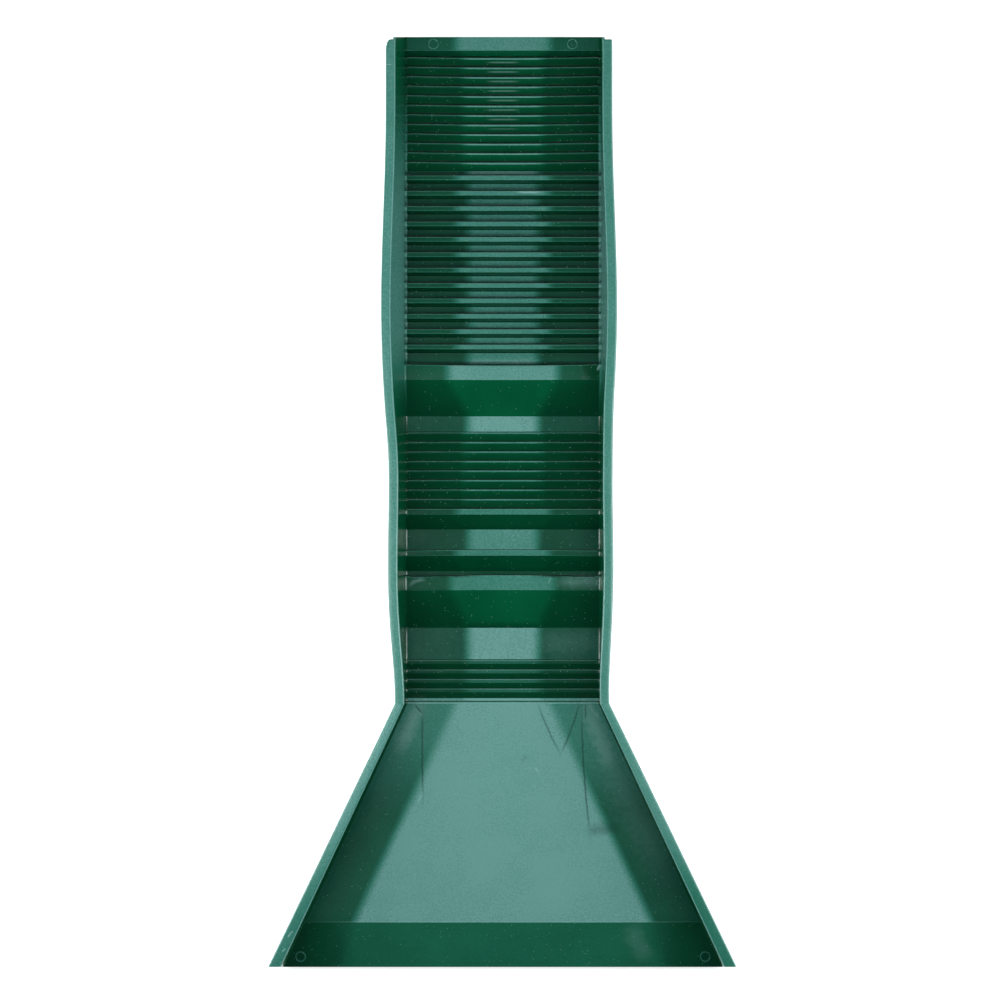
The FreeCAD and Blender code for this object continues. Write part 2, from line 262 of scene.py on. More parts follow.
def sway(y, z):
    """The sideways shift of the walls, which grows with height and down the channel."""
    along = sum(shift * ease(y, start, end) for shift, start, end in SWAYS)
    return -along * max(z - WALL_FOOT, 0.0) / (RIM_TOP - WALL_FOOT)


def wall_half(y, z):
    """Middle line to the inside of a wall: upright at first, then leaning outward."""
    lean = (fold_half(y) - bed_half(y)) / (RIM_TOP - WALL_FOOT)
    above = z - WALL_FOOT
    bent = (above + math.hypot(above, WALL_BEND)) / 2
    return bed_half(y) + lean * bent


# ------------------------------------------------------------------ the profile
def leaning_drops(corners):
    """The corners again, with the top of each sheer drop drawn back to give it a draft."""
    drafted = []
    for index, (y, z, _) in enumerate(corners):
        following = corners[min(index + 1, len(corners) - 1)]
        if abs(following[0] - y) < SAME and following[1] < z:
            y -= DRAFT * (z - following[1])
        drafted.append(Vector((y, z)))
    return drafted


def underside(corners):
    """The same corners one sheet thickness below, never running back upstream."""
    below = []
    for index, corner in enumerate(corners):
        before = (corner - corners[max(index - 1, 0)]).normalized()
        after = (corners[min(index + 1, len(corners) - 1)] - corner).normalized()
        if index == 0:
            before = after
        if index == len(corners) - 1:
            after = before
        middle = (before + after).normalized()
        inward = Vector((middle.y, -middle.x))
        reach = SHEET / max(middle.dot(before), MITRE_LIMIT)
        spot = corner + inward * reach
        if index in (0, len(corners) - 1):
            spot = corner - Vector((0, SHEET))
        elif below:
            spot.x = max(spot.x, below[-1].x + LEAST_ADVANCE)
        spot.x = min(spot.x, corners[-1].x)
        spot.y = max(spot.y, 0.0)
        below.append(spot)
    return below


def fill_gaps(path):
    """Space the missing points evenly between the ones on either side."""
    index = 0
    while index < len(path):
        if path[index] is None:
            stop = next(later for later in range(index, len(path)) if path[later] is not None)
            count = stop - index + 1
            for place in range(index, stop):
                share = (place - index + 1) / count
                path[place] = path[index - 1].lerp(path[stop], share)
            index = stop
        index += 1


def fold_at(corners, index):
    """The straights on both sides of a corner, as seen from it, and the turn between them."""
    before = corners[index - 1] - corners[index]
    after = corners[index + 1] - corners[index]
    return before, after, math.pi - before.angle(after, math.pi)


def turn_steps(corners):
    """The number of steps that each corner's rounding takes."""
    steps = [0]
    for index in range(1, len(corners) - 1):
        _, _, turn = fold_at(corners, index)
        steps.append(math.ceil(turn / ARC_STEP) if turn > 0.01 else 0)
    return steps + [0]


def rounded(corners, raised, sunk, steps, guide):
    """A path with rounded corners, and as many points on each straight as the guide has.

    Also returned are the place in the path where each corner starts, and for each point
    1 inside a raised fold, -1 inside a sunk one and 0 elsewhere.
    """
    path, starts, folds = [], [], []
    for index, corner in enumerate(corners):
        starts.append(len(path))
        if index in (0, len(corners) - 1):
            path.append(corner.copy())
            folds.append(0)
        else:
            before, after, turn = fold_at(corners, index)
            dips = before.x * after.y - before.y * after.x < 0
            radius = sunk if dips else raised
            cut = min(radius * math.tan(min(turn, WIDEST_TURN) / 2),
                      ROUNDED_SHARE * before.length, ROUNDED_SHARE * after.length)
            first = corner + before.normalized() * cut
            last = corner + after.normalized() * cut
            for step in range(steps[index] + 1):
                share = step / steps[index] if steps[index] else 0.5
                one, other = first.lerp(corner, share), corner.lerp(last, share)
                path.append(one.lerp(other, share))
                inside = 0 < step < steps[index] and turn > SHARP_TURN
                folds.append((-1 if dips else 1) if inside else 0)
        if index < len(corners) - 1:
            pieces = math.ceil((guide[index + 1] - guide[index]).length / LONG_STEP)
            path.extend([None] * (pieces - 1))
            folds.extend([0] * (pieces - 1))
    fill_gaps(path)
    return path, starts, folds


def tray_stations():
    """Stations down the tray: top (y, z), underside (y, z), zone, and kind of fold."""
    named = channel_corners()
    top = leaning_drops(named)
    low = underside(top)
    steps = turn_steps(top)
    top_path, starts, folds = rounded(top, FOLD_OUT, FOLD_IN, steps, top)
    low_path, _, _ = rounded(low, TIGHT, FOLD_IN + SHEET, steps, top)
    zones = []
    for index, (_, _, zone) in enumerate(named):
        stop = starts[index + 1] if index + 1 < len(named) else len(top_path)
        zones.extend([zone] * (stop - starts[index]))
    return list(zip(top_path, low_path, zones, folds))


STATIONS = tray_stations()


# ------------------------------------------------------------------ closed sheets
def closed_sheet(top, low, folds=()):
    """A closed mesh between two grids of points, with the kind of fold of each top point."""
    rows, columns = len(top), len(top[0])
    bm = bmesh.new()
    fold = bm.verts.layers.float.new("fold")
    grids = [[[bm.verts.new(spot) for spot in row] for row in grid] for grid in (top, low)]
    above, below = grids
    for row, kinds in zip(above, folds):
        for vert, kind in zip(row, kinds):
            vert[fold] = kind
    for row in range(rows - 1):
        for column in range(columns - 1):
            corners = ((row, column), (row, column + 1), (row + 1, column + 1), (row + 1, column))
            bm.faces.new([above[r][c] for r, c in corners])
            bm.faces.new([below[r][c] for r, c in reversed(corners)])
    ring = [(0, column) for column in range(columns)]
    ring += [(row, columns - 1) for row in range(1, rows)]
    ring += [(rows - 1, column) for column in range(columns - 2, -1, -1)]
    ring += [(row, 0) for row in range(rows - 2, 0, -1)]
    for (r, c), (next_r, next_c) in zip(ring, ring[1:] + ring[:1]):
        side = bm.faces.new([above[next_r][next_c], above[r][c],
                             below[r][c], below[next_r][next_c]])
        for edge in side.edges:
            edge.smooth = False
    return bm


def painted_shade_and_sheen(piece, place, on_ring):
    """How much painted shade a piece has at a place on it, how much painted sheen where level, and how
    much painted sheen all over.
    """
    x, y, z = place
    raised = ease(z - SHEET, *TROUGH_RISE) if piece in TROUGH_ZONES else 1.0
    shade_amount = max(ZONE_SHADE.get(piece, 0.0), TROUGH_SHADE * (1 - raised))
    level = LEVEL_SHEEN.get(piece, 1.0) * raised
    overall = OVERALL_SHEEN.get(piece, 0.0)
    if "flare_rim" in piece:
        level *= FRONT_RIM_SHARE + (1 - FRONT_RIM_SHARE) * ease(y, *FRONT_RIM_FADE)
    if on_ring:
        overall = RING_SHEEN
    elif piece == "entry_lip":
        overall *= 1 - LIP_SIDE_FADE * ease(abs(x), *LIP_SIDES)
    if piece in WALL_SHEEN:
        overall = WALL_SHEEN[piece] * ease(y, *WALL_SHEEN_START) * (1 - ease(y, *WALL_SHEEN_STOP))
    return shade_amount, level, overall


def finish_piece(name, bm):
    """Turn the mesh into the sheet that stands for its CAD node and rides on the tray."""
    # Painted shade and painted sheen amounts, kept at the vertices.
    layers = [bm.verts.layers.float.new(kind) for kind in ("painted_shade_amount", "level_sheen_amount", "overall_sheen_amount")]
    for vert in bm.verts:
        for layer, amount in zip(layers, painted_shade_and_sheen(name, vert.co, vert.tag)):
            vert[layer] = amount
    bmesh.ops.recalc_face_normals(bm, faces=bm.faces)
    for face in bm.faces:
        face.smooth = True
    mesh = bpy.data.meshes.new(name + "_sheet")
    bm.to_mesh(mesh)
    bm.free()
    piece = bpy.data.objects.new(name + "_sheet", mesh)
    bpy.context.collection.objects.link(piece)
    piece.data.materials.append(PLASTIC)
    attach(piece, "root")
    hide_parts(name)


def bow_share(zone, y, z):
    """How much of a zone's bow a station takes: on one big rib, most at its drop."""
    if zone not in SINGLE_RIBS:
        return min(max(z - SHEET, 0.0) / (DECK_Z - SHEET), 1.0)
    start, end = ZONE_ENDS[zone]
    along = (y - start) / (end - start)
    return ease(along, 0.5, 0.9) * (1 - ease(along, 0.93, 1.0))


def bow(y, z, x, zone):
    """How far a point of the floor moves when its fold bows along the channel."""
    middle = max(1 - (x / bed_half(y)) ** 2, 0.0)
    bend = (middle - BOW_BACK.get(zone, 0.0)) * ease(middle, 0.04, 0.16)
    return CREST_BOW.get(zone, 0.0) * bend * bow_share(zone, y, z)


def settled(y, z, x, zone):
    """How far a point of the floor has sunk: only at the twisted end of one crest."""
    if zone != "lower_big_rib":
        return 0.0
    raised = min(max(z - SHEET, 0.0) / (2 * TWIST), 1.0)
    near_wall = ease(x, BED_HALF - TWIST_START, BED_HALF - TWIST_STOP)
    return TWIST * bow_share(zone, y, z) * raised * near_wall


def floor_edge(y, z):
    """Middle line to the start of the cove, where the floor ends."""
    return wall_half(y, z + COVE) - COVE


def floor_zone(name):
    """One zone of the floor, between the coves."""
    picked = [index for index, station in enumerate(STATIONS) if station[2] == name]
    last = min(picked[-1] + 1, len(STATIONS) - 1)
    top, low, folds = [], [], []
    for index in range(picked[0], last + 1):
        above, below, zone, fold = STATIONS[index]
        folds.append([fold] * (FLOOR_COLUMNS + 1))
        edge = floor_edge(above.x, above.y)
        columns = [edge * (2 * column / FLOOR_COLUMNS - 1) for column in range(FLOOR_COLUMNS + 1)]
        moves = [(x, bow(*above, x, zone), settled(*above, x, zone)) for x in columns]
        top.append([(x, above.x + along, above.y - drop) for x, along, drop in moves])
        low.append([(x, below.x + along, below.y - min(drop, below.y)) for x, along, drop in moves])
    return closed_sheet(top, low, folds)


def wall_band(side, above, below, zone):
    """The cove and the wall at one station: a row of top points and one of underside points."""
    y, z = above
    edge = floor_edge(y, z)
    sunk = settled(y, z, side * edge, zone)
    z -= sunk
    below = Vector((below.x, below.y - min(sunk, below.y)))
    top, low = [], []
    for step in range(CORNER_STEPS + 1):
        angle = math.pi / 2 * step / CORNER_STEPS
        reach, rise = math.sin(angle), 1 - math.cos(angle)
        top.append((edge + COVE * reach, y, z + COVE * rise))
        outer = COVE + SHEET
        low.append((edge + outer * reach, below.x, below.y + outer * rise))
    foot_top, foot_low = top[-1][2], low[-1][2]
    head, lean = rim_seam(y)
    for row in range(1, WALL_ROWS + 1):
        share = row / WALL_ROWS
        up = foot_top + (head - foot_top) * share
        top.append((wall_half(y, up), y, up))
        up = foot_low + (head - foot_low) * share
        low.append((wall_half(below.x, up) + SHEET / math.cos(lean), below.x, up))
    return [(side * x + sway(y, z), y, z) for x, y, z in top], \
           [(side * x + sway(y, z), y, z) for x, y, z in low]


def rim_seam(y):
    """Height where the wall turns into the rim, and the wall's lean there."""
    lean = math.atan2(fold_half(y) - bed_half(y), RIM_TOP - WALL_FOOT)
    return RIM_TOP - RIM_FOLD * (1 - math.sin(lean)), lean


def wall(side, first_zone, last_zone):
    """A side wall, from the cove up to the rim, over a run of floor zones."""
    zones = FLOOR_ZONES[FLOOR_ZONES.index(first_zone):FLOOR_ZONES.index(last_zone) + 1]
    picked = [index for index, station in enumerate(STATIONS) if station[2] in zones]
    last = min(picked[-1] + 1, len(STATIONS) - 1)
    bands = [wall_band(side, *STATIONS[index][:3]) for index in range(picked[0], last + 1)]
    return closed_sheet([top for top, _ in bands], [low for _, low in bands])


def rim_corner(side, y):
    """How far a rim's rounded outlet corner draws back its outer edge."""
    radius = LEFT_CORNER if side < 0 else RIGHT_CORNER
    past = max(radius - (RIM_END_Y - y), 0.0)
    return CORNER_DEPTH * (radius - math.sqrt(max(radius ** 2 - past ** 2, 0.0)))


def rim_band(side, y):
    """The fold, the level rim and its turned-down edge at one place along it."""
    head, lean = rim_seam(y)
    centre_x = wall_half(y, head) + RIM_FOLD * math.cos(lean)
    outer = rim_half(y) - rim_corner(side, y)
    inner_low = wall_half(y, head) + SHEET / math.cos(lean)
    top, low = [], []
    for step in range(CORNER_STEPS + 1):
        share = step / CORNER_STEPS
        angle = math.pi - lean - (math.pi / 2 - lean) * share
        top.append((centre_x + RIM_FOLD * math.cos(angle),
                    RIM_TOP - RIM_FOLD + RIM_FOLD * math.sin(angle)))
        under = RIM_TOP - SHEET - TIGHT * (1 - math.sin(math.pi / 2 * share))
        low.append((inner_low + TIGHT * (1 - math.cos(math.pi / 2 * share)), under))
    low[0] = (inner_low, min(head, RIM_TOP - SHEET - 2 * TIGHT))
    for step in range(CORNER_STEPS + 1):
        angle = math.pi / 2 * (1 - step / CORNER_STEPS)
        top.append((outer - RIM_EDGE + RIM_EDGE * math.cos(angle),
                    RIM_TOP - RIM_EDGE + RIM_EDGE * math.sin(angle)))
        low.append((outer - SHEET - TIGHT + TIGHT * math.cos(angle),
                    RIM_TOP - SHEET - TIGHT + TIGHT * math.sin(angle)))
    top.append((outer, RIM_LOW))
    low.append((outer - SHEET, RIM_LOW))
    return [(side * x + sway(y, z), y, z) for x, z in top], \
           [(side * x + sway(y, z), y, z) for x, z in low]


def rim(side, start, end):
    """A rim along the top of a wall."""
    count = math.ceil((end - start) / RIM_STEP)
    places = [start + (end - start) * index / count for index in range(count + 1)]
    if end > THROAT_Y:
        places += [end - RIM_STEP * share for share in RIM_END_SHARES]
    bands = [rim_band(side, y) for y in sorted(places)]
    # Painted highlight along the rim's inner fold and its outer edge.
    arc = [0] + [RIM_HIGHLIGHT] * (CORNER_STEPS - 1) + [0]
    return closed_sheet([top for top, _ in bands], [low for _, low in bands],
                        [arc + arc + [0]] * len(bands))


def ring_marks():
    """For each lip: its rings' distance from the middle line, their y and z, and the slope."""
    entry_reach, entry_inset = ENTRY_RING
    outlet_reach, outlet_inset = OUTLET_RING
    slope = (DECK_Z - FRONT_TOP_Z) / (CREASE_Y - FRONT_Y)
    return {"entry_lip": (entry_reach, FRONT_Y + entry_inset, FRONT_TOP_Z + slope * entry_inset, slope),
            "outlet_lip": (outlet_reach, OUTLET_Y - outlet_inset, DECK_Z, 0.0)}


def add_ring(bm, side, reach, y, z, slope):
    """A low raised ring that marks where a hole may be drilled."""
    middle, half = (RING_OUTER + RING_INNER) / 2, (RING_OUTER - RING_INNER) / 2
    loops = []
    for turn in range(RING_AROUND):
        angle = 2 * math.pi * turn / RING_AROUND
        loop = []
        for step in range(RING_ACROSS + 1):
            bend = math.pi * step / RING_ACROSS
            radius = middle - half * math.cos(bend)
            along = radius * math.sin(angle)
            up = slope * along + RING_HEIGHT * math.sin(bend) - RING_SUNK
            loop.append(bm.verts.new((side * reach + radius * math.cos(angle), y + along, z + up)))
            loop[-1].tag = True
        loops.append(loop)
    for one, other in zip(loops, loops[1:] + loops[:1]):
        for step in range(RING_ACROSS):
            bm.faces.new([one[step], one[step + 1], other[step + 1], other[step]])
        bm.faces.new([one[RING_ACROSS], one[0], other[0], other[RING_ACROSS]])


# ------------------------------------------------------------------ material
GREENS = ((0.0003, 0.068, 0.027), (0.0006, 0.084, 0.034))   # the clean plastic lies between them
SHADED_GREEN = (0.0, 0.008, 0.004)
# Green of the painted shade marks.
SHADE_MARK_GREEN = (0.0005, 0.020, 0.013)
# Pale teals of the painted sheen, thin and full.
THIN_SHEEN = (0.026, 0.150, 0.110)
FULL_SHEEN = (0.126, 0.282, 0.258)
THIN_SHEEN_RANGE = (0.0, 0.5)        # strengths of the painted sheen over which each colour comes in
FULL_SHEEN_RANGE = (0.32, 0.95)
SPECK = (0.24, 0.50, 0.37)
SPECK_STRENGTH = 0.5
# Pale grey of the scuffs, the painted sheen and the painted highlights.
PALE_GREY = (0.26, 0.43, 0.41)
COLOUR_A, COLOUR_B, COLOUR_RESULT = 6, 7, 2   # sockets of a Mix node that blends colours

LEVEL_FACE = (0.989, 0.998)         # upward part of the normal of a face that counts as level
UPWARD_FACE = (0.02, 0.25)          # and of one that faces up at all
SHADE_REACH = 1.1                   # how far out a wall shades, against the depth below its rim
SHADE_EDGE = (-0.004, 0.017)
SHADE_PER_DEPTH = 7.5               # darkening beside a wall, for each metre below its rim
RIM_DEPTH = (12 * MM, 8 * MM)       # depth below the rims' top at which a face is part of one
SUNK_SHADE = 0.85                   # darkening in a sunk fold
FOLD_HIGHLIGHT = 0.35                    # painted highlight on a raised fold, and what the bright middle adds
FOLD_HIGHLIGHT_MIDDLE = 0.25
SPREAD = 0.15                       # share of a level face's painted sheen that shows beside the walls,
SPREAD_MIDDLE = 0.70                # and what the bright middle and the throat's corners add
SPREAD_CORNER = 0.30
CORNER_START = (THROAT_Y - 0.16, THROAT_Y - 0.02)
CORNER_STOP = (THROAT_Y + 0.01, THROAT_Y)

DASH_PLACE = 0.42                   # where along a tail rib's pitch its glint lies
DASH_EDGE = (0.13, 0.03)            # where it ends, as a share of the pitch
DASH_SIDE = (0.026, 0.010)          # and across the tray
DASH_START = (3.0, 6.0)             # the ribs, by number, over which glints come in and stop
DASH_STOP = (12.0, 11.9)
DASH_STRENGTH = 0.24


def set_inputs(tree, made, inputs):
    """Give a node's named inputs their values, or join them to other nodes' outputs."""
    for key, value in inputs.items():
        socket = made.inputs[key.replace("_", " ")]
        if isinstance(value, bpy.types.NodeSocket):
            tree.links.new(value, socket)
        else:
            socket.default_value = value


def add_node(tree, kind, **inputs):
    """A shader node with its named inputs set."""
    made = tree.nodes.new(kind)
    set_inputs(tree, made, inputs)
    return made


def ramp(tree, factor, low, high):
    """A smooth 0 to 1 step of a value between low and high."""
    made = add_node(tree, "ShaderNodeMapRange", Value=factor, From_Min=low, From_Max=high)
    made.interpolation_type = "SMOOTHSTEP"
    return made.outputs["Result"]


def maths(tree, operation, one, other=0.0):
    """One step of arithmetic on numbers or other outputs."""
    made = tree.nodes.new("ShaderNodeMath")
    made.operation = operation
    for socket, value in zip(made.inputs, (one, other)):
        if isinstance(value, bpy.types.NodeSocket):
            tree.links.new(value, socket)
        else:
            socket.default_value = value
    return made.outputs[0]


def product(tree, *values):
    """All the values multiplied together."""
    total = values[0]
    for value in values[1:]:
        total = maths(tree, "MULTIPLY", total, value)
    return total


def scaled(tree, value, factor, start):
    """A value times a factor, plus a start."""
    return maths(tree, "ADD", maths(tree, "MULTIPLY", value, factor), start)


def rest_of(tree, share):
    """What a share leaves of 1."""
    return maths(tree, "SUBTRACT", 1.0, share)


def blend(tree, factor, one, other):
    """A colour mix: one where the factor is 0, other where it is 1."""
    made = tree.nodes.new("ShaderNodeMix")
    made.data_type = "RGBA"
    tree.links.new(factor, made.inputs["Factor"])
    for index, value in ((COLOUR_A, one), (COLOUR_B, other)):
        if isinstance(value, bpy.types.NodeSocket):
            tree.links.new(value, made.inputs[index])
        else:
            made.inputs[index].default_value = (*value, 1.0)
    return made.outputs[COLOUR_RESULT]


def attribute(tree, name):
    """A number that the meshes carry at their vertices."""
    made = tree.nodes.new("ShaderNodeAttribute")
    made.attribute_name = name
    return made.outputs["Fac"]


def noise(tree, place, scale, detail=2.0):
    """A soft random pattern around 0.5."""
    made = add_node(tree, "ShaderNodeTexNoise", Vector=place, Scale=scale, Detail=detail, Roughness=0.5)
    return made.outputs["Fac"]


def specks(tree, place, scale, share, size):
    """A mask of scattered dots, on a share of the cells of a pattern."""
    dots = add_node(tree, "ShaderNodeTexVoronoi", Vector=place, Scale=scale, Randomness=1.0)
    pick = add_node(tree, "ShaderNodeSeparateColor", Color=dots.outputs["Color"]).outputs["Red"]
    chosen = ramp(tree, pick, 1 - share, 1 - share + 0.01)
    inside = ramp(tree, dots.outputs["Distance"], size, 0.5 * size)
    return product(tree, chosen, inside)


# Marks of forming and use, and painted shade, sheen and highlights: place and size in mm,
# angle in degrees, how far the ends bend away in widths, and strength.
# Painted shade along creases, and painted shadow behind the crests.
SHADE_MARKS = (
    (-110, -344, 90, 160, 4.5, 0.8, 0.65),     # painted shade along the fold line at the left of the flare
    (-115, -283, 130, 20, 4.0, 0.0, 0.7),
    (111, -372, 94, 220, 4.5, 1.8, 0.65),      # painted shade along the fold line at the right
    (94, -309, 70, 96, 4.5, -1.5, 0.6),        # painted shade along creases from the right throat corner
    (62, -311, 114, 96, 4.5, 1.0, 0.5),
    (113, -287, 90, 24, 3.5, 0.0, 0.6),
    (137, -446, 6, 60, 26.0, 0.4, 0.38),       # painted shade patch where the right fold line ends
    (29, -350, 50, 14, 9.0, 0.0, 0.22),
    (-90, -100.4, -1.5, 130, 6.0, 0.0, 0.9),   # shadow behind both ends of the upper big crest
    (92, -100.8, 1.5, 120, 5.0, 0.0, 0.9),
    (128, -622, 15, 40, 2.0, 0.0, 0.3))
# Scuffs, stress marks and a crease, with painted sheen and painted highlights.
SCUFF_AND_SHEEN_MARKS = (
    (-127, -306, 66, 100, 34.0, 0.0, 0.28),    # sheen beside the left throat corner
    (132, -322, 112, 130, 40.0, 0.0, 0.26),    # and the right one
    (124, -286, 125, 40, 12.0, 0.0, 0.30),
    (46, -366, 140, 12, 3.0, 1.0, 0.6),        # scuffs on the floor of the flare
    (-113, -404, 60, 22, 5.0, 0.0, 0.35),
    (-2, -573.5, 0, 620, 2.4, 0.0, 0.35),      # painted highlight on the ridge where the entry lip turns down
    (185, -602, 118, 70, 40.0, 0.0, 0.10),
    (-290, -590, 52, 15, 3.0, 0.5, 0.8),       # stress marks on the left flare rim
    (-299, -612, 50, 9, 3.0, 0.0, 0.7),
    (-156, 597.5, 0, 13, 1.8, 0.0, 0.8),       # crease across the left channel rim
    (64, -107, 70, 13, 3.0, 1.2, 0.3),         # scuffs on the upper big crest
    (92, -109, 95, 14, 3.0, 1.0, 0.25),
    (112, -107, 60, 11, 3.0, 1.6, 0.3),
    (128, -110, 80, 12, 5.0, 0.0, 0.35),
    # painted sheen at the right end of the upper big crest
    (106, -109, 0, 80, 26.0, 0.0, 0.20),
    (92, -193, 0, 110, 44.0, 0.0, 0.07),       # sheen right of the upper flat
    (176, -407, 116, 300, 80.0, 0.0, 0.08),    # sheen at the right of the flare
    (-118, -108, 20, 30, 9.0, 0.6, 0.22),
    (131, 184, 65, 12, 5.0, 0.0, 0.7),         # glint on the twisted end of the lower big crest
    (36, 423, 0, 44, 4.5, 0.0, 0.7))           # painted glint on a deep rib


def streak(tree, place, wobble, x, y, angle, length, width, bend, strength):
    """A mask of one long soft mark, straight or bent, with an uneven edge."""
    local = add_node(tree, "ShaderNodeMapping", Vector=place, Location=(x * MM, y * MM, 0),
                     Rotation=(0, 0, math.radians(angle)),
                     Scale=(length * MM / 2, width * MM / 2, 1))
    local.vector_type = "TEXTURE"
    along, across, _ = add_node(tree, "ShaderNodeSeparateXYZ", Vector=local.outputs["Vector"]).outputs
    curve = product(tree, along, along, bend)
    across = maths(tree, "ADD", maths(tree, "ADD", across, curve), wobble)
    return product(tree, ramp(tree, maths(tree, "ABSOLUTE", along), 1.0, 0.3),
                   ramp(tree, maths(tree, "ABSOLUTE", across), 1.0, 0.0), strength)


def all_marks(tree, place, marks):
    """The strongest of several marks at each point."""
    wobble = maths(tree, "SUBTRACT", noise(tree, place, 120.0), 0.5)
    masks = [streak(tree, place, wobble, *mark) for mark in marks]
    total = masks[0]
    for mask in masks[1:]:
        total = maths(tree, "MAXIMUM", total, mask)
    return total


def glints(tree, spot):
    """Painted highlights: short bright dashes in the middle of each slope of the tail ribs."""
    start, end = ZONE_ENDS["tail_ribs"]
    pitch = (end - start) / TAIL_COUNT
    turn = maths(tree, "DIVIDE", maths(tree, "SUBTRACT", spot["Y"], start), pitch)
    off_place = maths(tree, "ABSOLUTE", maths(tree, "SUBTRACT", maths(tree, "FRACT", turn), DASH_PLACE))
    return product(tree, ramp(tree, off_place, *DASH_EDGE),
                   ramp(tree, maths(tree, "ABSOLUTE", spot["X"]), *DASH_SIDE),
                   ramp(tree, turn, *DASH_START), ramp(tree, turn, *DASH_STOP), DASH_STRENGTH)


def middle_mask(tree, spot, depth):
    """1 on the rims and in the bright middle of the tray, 0 where a wall shades the floor."""
    before_throat = maths(tree, "MAXIMUM", maths(tree, "SUBTRACT", THROAT_Y, spot["Y"]), 0.0)
    widening = (FRONT_HALF - BED_HALF) / (THROAT_Y - FRONT_Y)
    half = scaled(tree, before_throat, widening, BED_HALF)
    from_wall = maths(tree, "SUBTRACT", half, maths(tree, "ABSOLUTE", spot["X"]))
    past_shade = maths(tree, "SUBTRACT", from_wall, maths(tree, "MULTIPLY", depth, SHADE_REACH))
    return maths(tree, "MAXIMUM", ramp(tree, past_shade, *SHADE_EDGE), ramp(tree, depth, *RIM_DEPTH))


def painted_shade_mask(tree, up, middle, depth, fold):
    """Painted shade that darkens the green: most beside the walls, in the troughs and in sunk folds."""
    beside_wall = product(tree, ramp(tree, up, *UPWARD_FACE), rest_of(tree, middle))
    shade = product(tree, beside_wall, maths(tree, "MULTIPLY", depth, SHADE_PER_DEPTH))
    shade_amount = maths(tree, "MAXIMUM", shade, attribute(tree, "painted_shade_amount"))
    return maths(tree, "MAXIMUM", shade_amount, maths(tree, "MULTIPLY", fold, -SUNK_SHADE))


def painted_sheen_mask(tree, spot, up, middle, fold, clouds, grain):
    """Painted sheen: most on raised folds and on level faces in the bright middle."""
    corner = product(tree, ramp(tree, spot["Y"], *CORNER_START), ramp(tree, spot["Y"], *CORNER_STOP),
                     rest_of(tree, middle))
    spread = maths(tree, "ADD", scaled(tree, middle, SPREAD_MIDDLE, SPREAD),
                   maths(tree, "MULTIPLY", corner, SPREAD_CORNER))
    level = product(tree, ramp(tree, up, *LEVEL_FACE), spread, attribute(tree, "level_sheen_amount"))
    # Painted highlight along raised folds and the rims' edges.
    fold_highlight = product(tree, maths(tree, "MAXIMUM", fold, 0.0),
                   scaled(tree, middle, FOLD_HIGHLIGHT_MIDDLE, FOLD_HIGHLIGHT))
    painted_sheen = maths(tree, "MAXIMUM", maths(tree, "ADD", level, attribute(tree, "overall_sheen_amount")), fold_highlight)
    unsunk = maths(tree, "ADD", 1.0, maths(tree, "MINIMUM", fold, 0.0))
    return product(tree, painted_sheen, unsunk, scaled(tree, clouds, 0.3, 0.85), scaled(tree, grain, 0.24, 0.88))


